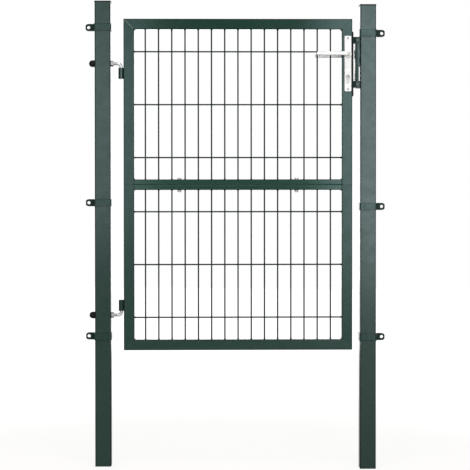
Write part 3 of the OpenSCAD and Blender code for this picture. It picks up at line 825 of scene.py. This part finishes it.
@dataclass
class FrameWelds:
    """Weld seams of one half's frame: mitres, butted meeting rail and the fillets in the corners."""

    half: Half
    seam_width: float = 0.0036
    seam_height: float = 0.0002
    fillet_leg: float = 0.0045
    tube_corner: float = 0.003

    def build(self) -> None:
        """Builds the half's mitre seams, then the welds in its corners and at its meeting rail."""
        half, inset = self.half.value, self.tube_corner
        upper = self.half is Half.UPPER
        low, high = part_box(f"{half}_mesh")
        stile_low, stile_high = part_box(f"{half}_hinge_stile")
        far_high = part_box(f"{half}_latch_stile")[1]
        seam_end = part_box(f"{half}_meeting_rail")[0 if upper else 1].z
        outer_z = stile_high.z if upper else stile_low.z
        inner_z, rail_z = (high.z, low.z) if upper else (low.z, high.z)
        rise = math.copysign(1.0, outer_z - inner_z)
        depth = stile_high.y - inset
        seams = Draft(seed=23 if upper else 29)
        highlit_seams = Draft(seed=43)
        fillets = Draft(seed=31 if upper else 37)
        bead = (self.seam_width, self.seam_height)
        for inner_x, outer_x in ((low.x, stile_low.x), (high.x, far_high.x)):
            out = math.copysign(1.0, outer_x - inner_x)
            for y, up in zip((stile_low.y, stile_high.y), FRONT_AND_BACK):
                # The front mitre seam of the upper hinge corner gets the painted highlight
                light = upper and out < 0 and up.y < 0
                (highlit_seams if light else seams).weld_run(
                    Vector((inner_x + out * inset, y, inner_z + rise * inset)),
                    Vector((outer_x - out * inset, y, outer_z - rise * inset)), up, *bead)
                fillets.weld_run(Vector((inner_x, y, rail_z - rise * inset)),
                                 Vector((inner_x, y, seam_end + rise * inset)), up, *bead)
            for z, way in ((inner_z, -rise), (rail_z, rise)):
                fillets.fillet(Vector((inner_x, -depth, z)), Vector((inner_x, depth, z)),
                               ALONG_X * -out, ALONG_Z * way, self.fillet_leg)
        seams.piece(f"{half}_mitre_seams", SEAM_COAT, Body.LEAF)
        if upper:
            highlit_seams.piece("upper_hinge_corner_seam", SEAM_HIGHLIGHT_COAT, Body.LEAF)
        fillets.piece(f"{half}_corner_welds", WELD_COAT, Body.LEAF)


@dataclass
class HingeHook:
    """Hooked and threaded rod of one hinge, with the weld beads of its barrel."""

    half: Half
    bend_radius: float = 0.0125
    bend_rings: int = 14
    thread_pitch: float = 0.00175
    thread_depth: float = 0.0010
    thread_flank: float = 1.25
    thread_rings: int = 8
    thread_stop: float = 0.25
    end_chamfer: float = 0.0012
    bead_width: float = 0.0052
    bead_inset: float = 0.003
    # Place of a bead before the stile and aside of the hinge's axis, in radii of the barrel
    bead_place: Pair = (0.18, 0.58)
    sides: int = 28

    def build(self) -> None:
        """Builds the hook in place of the plain solid, then the barrel's welds."""
        self.build_rod()
        self.build_beads()

    def thread(self, x: float, angle: float) -> float:
        """Depth of the thread's groove at a place along the rod and an angle round it."""
        turn = (x / self.thread_pitch + angle / math.tau) % 1.0
        return self.thread_depth * max(0.0, 1.0 - abs(2.0 * turn - 1.0) * self.thread_flank)

    def ring(self, centre: Vector, along: Vector, size: float, grooved: bool = False) -> Ring:
        """Ring of the rod round a centre, across its direction there, with or without the groove."""
        beside = along.cross(ALONG_Y)
        return [centre + (ALONG_Y * math.cos(t) + beside * math.sin(t))
                * (size - (self.thread(centre.x, t) if grooved else 0.0)) for t in turns(self.sides)]

    def build_rod(self) -> None:
        """Builds the rod: chamfered end, thread, bend and chamfered pin."""
        node = f"{self.half.value}_hinge_hook"
        low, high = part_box(node)
        radius = (high.y - low.y) / 2
        # The upper pin points down from its rod, and the lower one up
        way, outer_z, tip_z = (-1.0, high.z, low.z) if self.half is Half.UPPER else (1.0, low.z, high.z)
        rod_z = outer_z + way * radius
        pin_x = high.x - radius
        bend_x = pin_x - self.bend_radius
        bend_z = rod_z + way * self.bend_radius
        post_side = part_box("hinge_post")[1].x
        thread_end = bend_x - radius * self.thread_stop
        step = self.thread_pitch / self.thread_rings
        chamfer, tip = self.end_chamfer, radius - self.end_chamfer

        rings = [self.ring(Vector((low.x, 0.0, rod_z)), ALONG_X, tip),
                 self.ring(Vector((low.x + chamfer, 0.0, rod_z)), ALONG_X, radius)]
        for k in range(round((thread_end - post_side) / step) + 1):
            rings.append(self.ring(Vector((post_side + k * step, 0.0, rod_z)), ALONG_X, radius, True))
        rings.append(self.ring(Vector((thread_end + step, 0.0, rod_z)), ALONG_X, radius))
        for k in range(self.bend_rings + 1):
            t = math.pi / 2 * k / self.bend_rings
            centre = Vector((bend_x + self.bend_radius * math.sin(t), 0.0,
                             bend_z - way * self.bend_radius * math.cos(t)))
            rings.append(self.ring(centre, Vector((math.cos(t), 0.0, way * math.sin(t))), radius))
        rings.append(self.ring(Vector((pin_x, 0.0, tip_z - way * chamfer)), ALONG_Z * way, radius))
        rings.append(self.ring(Vector((pin_x, 0.0, tip_z)), ALONG_Z * way, tip))
        rod = Draft()
        rod.loft(rings)
        made = rod.piece(f"{node}_threaded", ZINC, Body.POSTS)
        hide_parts(node)

    def build_beads(self) -> None:
        """Builds the weld beads that hold the barrel on its stile."""
        low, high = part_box(f"{self.half.value}_hinge_barrel")
        stile_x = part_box(f"{self.half.value}_hinge_stile")[0].x
        radius = (high.y - low.y) / 2
        before, aside = (radius * share for share in self.bead_place)
        welds = Draft(seed=41)
        for out in FRONT_AND_BACK:
            foot = Vector((stile_x - before, out.y * aside, 0.0))
            welds.weld_run(foot + ALONG_Z * (low.z + self.bead_inset),
                           foot + ALONG_Z * (high.z - self.bead_inset),
                           out, self.bead_width, self.bead_width / 2)
        welds.piece(f"{self.half.value}_barrel_welds", WELD_COAT, Body.LEAF)


@dataclass
class Screw:
    """Screw head with a cross recess."""

    radius: float = 0.0038
    height: float = 0.0014
    recess: float = 0.0011
    recess_taper: float = 0.8
    arm_length: float = 0.0021
    arm_width: float = 0.00045
    least_sine: float = 1e-6
    # Shares of the radius and of the height, from the head's foot over its rim to its top
    rim: tuple[Pair, ...] = ((1.0, 0.0), (1.0, 0.35), (0.90, 0.78), (0.72, 1.0))
    sides: int = 32

    def cross(self, angle: float) -> float:
        """Distance from the head's middle to the recess's outline at an angle."""
        turned = (angle + math.pi / 4) % (math.pi / 2) - math.pi / 4
        return min(self.arm_length / math.cos(turned),
                   self.arm_width / max(abs(math.sin(turned)), self.least_sine))

    def add_to(self, draft: Draft, origin: Vector, axis: Vector) -> None:
        """Adds the head to a piece.

        Args:
            draft: The piece.
            origin: Middle of the head's foot.
            axis: Direction that the head faces.
        """
        ways = spokes(axis, self.sides)
        rings = [[origin + axis * self.height * rise + way * self.radius * share for _, way in ways]
                 for share, rise in self.rim]
        for share, height in ((1.0, self.height), (self.recess_taper, self.height - self.recess)):
            rings.append([origin + axis * height + way * self.cross(t) * share for t, way in ways])
        draft.loft(rings)


@dataclass
class LockFurniture:
    """Screws and turned detail of the lock: plates, forend and key cylinder."""

    plate_screw_inset: float = 0.008
    forend_screw_inset: float = 0.010
    plug_radius: float = 0.0072
    plug_ring: float = 0.0008
    plug_turns: int = 40
    plug_sides: int = 8
    mouth_width: float = 0.0052
    mouth_height: float = 0.0088
    mouth_depth: float = 0.0040
    mouth_rise: float = 0.0003
    # Right side of the mouth's outline, in halves of its width and height
    mouth_side: tuple[Pair, ...] = ((0.45, -1.0), (0.50, -0.2), (1.0, 0.55), (0.95, 0.9), (0.7, 1.0))
    mouth_rim_taper: float = 0.92
    mouth_end_taper: float = 0.4

    def build(self) -> None:
        """Builds the plate screws, the forend screws, and the rings and the keyways' painted shade of the
        key cylinder.
        """
        screw = Screw()
        plates = Draft()
        for node, facing in zip(("front_lock_plate", "rear_lock_plate"), FRONT_AND_BACK):
            low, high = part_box(node)
            face_y = low.y if facing.y < 0 else high.y
            for z in (low.z + self.plate_screw_inset, high.z - self.plate_screw_inset):
                screw.add_to(plates, Vector(((low.x + high.x) / 2, face_y, z)), facing)
        plates.piece("lock_plate_screws", SCREW_STEEL, Body.LEAF)

        low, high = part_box("lock_forend")
        forend = Draft()
        for z in (low.z + self.forend_screw_inset, high.z - self.forend_screw_inset):
            screw.add_to(forend, Vector((high.x, 0.0, z)), ALONG_X)
        forend.piece("forend_screws", SCREW_STEEL, Body.LEAF)

        low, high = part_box("key_cylinder")
        rings, mouths = Draft(), Draft()
        for y, facing in zip((low.y, high.y), FRONT_AND_BACK):
            centre = Vector(((low.x + high.x) / 2, y, high.z - (high.x - low.x) / 2))
            self.plug_edge(rings, centre, facing)
            # A black lining in each key slot paints the shade inside the slot
            self.key_mouth(mouths, centre, facing)
        rings.piece("key_plug_rings", SCREW_STEEL, Body.LEAF)
        mouths.piece("key_slot_painted_shade", BLACK_STEEL, Body.LEAF, sharp_deg=20.0)

    def key_mouth(self, draft: Draft, centre: Vector, facing: Vector) -> None:
        """Adds a black lining set in a key slot, wide above and narrow below, that paints the shade of the
        slot's mouth.

        Args:
            draft: The piece.
            centre: Middle of the cylinder's face.
            facing: Direction that the face looks.
        """
        wide, high = self.mouth_width / 2, self.mouth_height / 2
        outline = [*self.mouth_side, *((-x, z) for x, z in reversed(self.mouth_side))]
        rows = ((self.mouth_rise, self.mouth_rim_taper), (0.0, 1.0),
                (-self.mouth_depth, self.mouth_end_taper))
        draft.loft([[centre + facing * rise + ALONG_X * x * wide * taper + ALONG_Z * z * high
                     for x, z in outline] for rise, taper in rows])

    def plug_edge(self, draft: Draft, centre: Vector, facing: Vector) -> None:
        """Adds the raised edge of the turning plug as a ring of round section.

        Args:
            draft: The piece.
            centre: Middle of the cylinder's face.
            facing: Direction that the face looks.
        """
        first, sides = len(draft.points), self.plug_sides
        for _, out in spokes(facing, self.plug_turns):
            for a in turns(sides):
                draft.points.append(centre + out * (self.plug_radius + self.plug_ring * math.cos(a))
                                    + facing * self.plug_ring * math.sin(a))
        for k in range(self.plug_turns):
            a, b = first + k * sides, first + (k + 1) % self.plug_turns * sides
            for s in range(sides):
                draft.faces.append((a + s, b + s, b + (s + 1) % sides, a + (s + 1) % sides))


@dataclass
class KeeperFixings:
    """Bolt heads of the keeper's stop tabs and the stitch welds that hold the keeper on its post."""

    head_place: float = 0.0085
    head_across: float = 0.013
    head_height: float = 0.0050
    head_chamfer: float = 0.0008
    head_sides: int = 6
    stitch_length: float = 0.022
    stitch_width: float = 0.0050
    stitch_places: Pair = (0.55, 0.80)

    def build(self) -> None:
        """Builds the tabs' bolt heads and the stitch welds."""
        low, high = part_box("keeper")
        corner = self.head_across / math.sqrt(3.0)
        profile = [(corner, 0.0), (corner, self.head_height - self.head_chamfer),
                   (corner - self.head_chamfer, self.head_height)]
        heads = Draft()
        for node in ("keeper_top_stop", "keeper_bottom_stop"):
            tab_low, tab_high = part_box(node)
            foot = Vector((low.x + self.head_place, tab_low.y, (tab_low.z + tab_high.z) / 2))
            heads.lathe(foot, -ALONG_Y, profile, self.head_sides)
        heads.piece("stop_tab_bolt_heads", GREEN_COAT, Body.POSTS, sharp_deg=20.0)

        stitches = Draft(seed=53)
        half = ALONG_Z * self.stitch_length / 2
        for y, out in zip((low.y, high.y), FRONT_AND_BACK):
            for place in self.stitch_places:
                foot = Vector((high.x, y, low.z + place * (high.z - low.z)))
                stitches.weld_run(foot - half, foot + half, out, self.stitch_width, self.stitch_width / 2)
        stitches.piece("keeper_stitch_welds", WELD_COAT, Body.POSTS)


@dataclass(frozen=True)
class Lamp:
    """One soft box of the studio."""

    name: str
    place: Triple
    width: float
    height: float
    radiance: float

    def build(self, aim: Triple) -> None:
        """Hangs the lamp and turns it to its aim.

        Args:
            aim: Point that the lamp looks at.
        """
        data = bpy.data.lights.new(self.name, "AREA")
        data.shape = "RECTANGLE"
        data.size = self.width
        data.size_y = self.height
        data.energy = self.radiance * math.pi * self.width * self.height
        lamp = bpy.data.objects.new(self.name, data)
        lamp.location = self.place
        lamp.rotation_mode = "QUATERNION"
        lamp.rotation_quaternion = (Vector(aim) - Vector(self.place)).to_track_quat("-Z", "Y")
        lamp.visible_camera = False
        bpy.context.scene.collection.objects.link(lamp)


@dataclass
class Studio:
    """Pale floor, white surroundings, soft boxes and the camera."""

    lamps: tuple[Lamp, ...] = (
        Lamp("right_soft_box", (1.84, -4.0, 1.42), 1.46, 2.0, 5.1),
        Lamp("left_soft_box", (-0.70, -4.0, 1.45), 1.5, 1.5, 2.7),
        Lamp("top_soft_box", (0.5, -1.3, 3.8), 1.8, 1.2, 6.0),
        Lamp("back_soft_box", (0.5, 4.0, 1.3), 2.6, 2.6, 1.5))
    lamp_aim: Triple = (0.5, 0.0, 1.1)
    fill: float = 0.62
    front_gloss: float = 0.05
    front_range: Pair = (-0.9, -0.2)
    side_gloss: float = 0.06
    back_range: Pair = (0.05, 0.6)
    floor_side: float = 20.0
    floor_shade: Colour = (0.54, 0.51, 0.48)
    floor_share: float = 0.75
    floor_glow: float = 1.15
    floor_middle: Triple = (0.5, 0.0, 0.0)
    floor_fade: Pair = (0.9, 2.6)
    camera_place: Triple = (0.3915, -6.03, 1.08)
    camera_turn: float = 0.01768
    camera_dip: float = 0.01373
    camera_roll: float = -0.00059
    sensor_width: float = 36.0
    focal_pixels: float = 1592.9
    frame_drop_pixels: float = 33.0

    def build(self) -> None:
        """Sets the stage and takes the camera to its place."""
        self.world()
        self.floor()
        for lamp in self.lamps:
            lamp.build(self.lamp_aim)
        self.camera()
        bpy.context.scene.view_settings.view_transform = "Standard"

    def world(self) -> None:
        """White all round for the camera, and a darker front for gloss, over an even fill light."""
        world = bpy.data.worlds.new("surroundings")
        bpy.context.scene.world = world
        world.use_nodes = True
        world.node_tree.nodes.clear()
        sheet = NodeSheet(world.node_tree)
        direction = sheet.add("ShaderNodeTexCoord").outputs["Generated"]
        away = sheet.add("ShaderNodeSeparateXYZ", Vector=direction).outputs["Y"]
        front = sheet.levels(away, *self.front_range, self.front_gloss, self.side_gloss, Spread.SMOOTH)
        back = sheet.levels(away, *self.back_range, self.side_gloss, 1.0, Spread.SMOOTH)
        path = sheet.add("ShaderNodeLightPath").outputs
        level = sheet.math("MAXIMUM", path["Is Camera Ray"], sheet.math("MAXIMUM", front, back))
        mirrored = sheet.math("MAXIMUM", path["Is Glossy Ray"], path["Is Transmission Ray"])
        seen = sheet.math("MAXIMUM", path["Is Camera Ray"], mirrored)
        fill = sheet.add("ShaderNodeBackground", Color=WHITE, Strength=self.fill)
        shown = sheet.add("ShaderNodeBackground", Color=WHITE, Strength=level)
        sheet.show(seen, fill, shown, "ShaderNodeOutputWorld")

    def floor(self) -> None:
        """Lays a matt floor under both posts' feet that keeps their shadow and fades to white."""
        half = self.floor_side / 2
        (start, _), (end, _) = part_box("hinge_post"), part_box("latch_post")
        slope = (end.z - start.z) / (end.x - start.x)
        corners = ((-half, -half), (half, -half), (half, half), (-half, half))
        mesh = bpy.data.meshes.new("floor")
        mesh.from_pydata([(x, y, start.z + (x - start.x) * slope) for x, y in corners], [], [(0, 1, 2, 3)])
        mesh.materials.append(self.floor_material())
        made = bpy.data.objects.new("floor", mesh)
        bpy.context.scene.collection.objects.link(made)

    def floor_material(self) -> bpy.types.Material:
        """Matt floor that glows white for the camera, more so away from the gate.

        Returns:
            The floor's material.
        """
        material = bpy.data.materials.new("pale_floor")
        material.use_nodes = True
        material.node_tree.nodes.clear()
        sheet = NodeSheet(material.node_tree)
        reach = sheet.add("ShaderNodeVectorMath")
        reach.operation = "DISTANCE"
        sheet.feed_in_order(reach, sheet.add("ShaderNodeTexCoord").outputs["Object"], self.floor_middle)
        fade = sheet.levels(reach.outputs["Value"], *self.floor_fade, self.floor_share, 1.0, Spread.SMOOTH)
        seen = sheet.add("ShaderNodeLightPath").outputs["Is Camera Ray"]
        matt = sheet.add("ShaderNodeBsdfDiffuse", Color=(*self.floor_shade, 1.0))
        glow = sheet.add("ShaderNodeEmission", Color=WHITE, Strength=self.floor_glow)
        sheet.show(sheet.math("MULTIPLY", seen, fade), matt, glow, "ShaderNodeOutputMaterial")
        return material

    def camera(self) -> None:
        """Places the camera at the photograph's viewing angle."""
        data = bpy.data.cameras.new("camera")
        data.sensor_width = self.sensor_width
        data.lens = self.focal_pixels / IMAGE_SIDE * self.sensor_width
        data.shift_y = -self.frame_drop_pixels / IMAGE_SIDE
        made = bpy.data.objects.new("camera", data)
        turn = Matrix.Rotation(-self.camera_turn, 4, "Z")
        dip = Matrix.Rotation(math.pi / 2 - self.camera_dip, 4, "X")
        roll = Matrix.Rotation(self.camera_roll, 4, "Z")
        made.matrix_world = Matrix.Translation(self.camera_place) @ turn @ dip @ roll
        bpy.context.scene.collection.objects.link(made)
        bpy.context.scene.camera = made


def dress_solids() -> None:
    """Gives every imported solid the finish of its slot, or the one kept for its kind of piece."""
    for name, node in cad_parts.items():
        finish = SOLID_FINISHES[Slot(node.data.materials[0].name)]
        finish = next((kept for part, kept in SPECIAL_FINISHES.items() if part in name), finish)
        node.data.materials[0] = finish.material()
        LOG.info("%s dressed in %s", name, finish.name)


def main() -> None:
    """Builds the studio, dresses the solids and adds the pieces."""
    logging.basicConfig(level=logging.INFO, format="%(message)s")
    Studio().build()
    dress_solids()
    for half in Half:
        WireMesh(half).build()
        FrameWelds(half).build()
        HingeHook(half).build()
    LockFurniture().build()
    KeeperFixings().build()


if __name__ == "__main__":
    main()
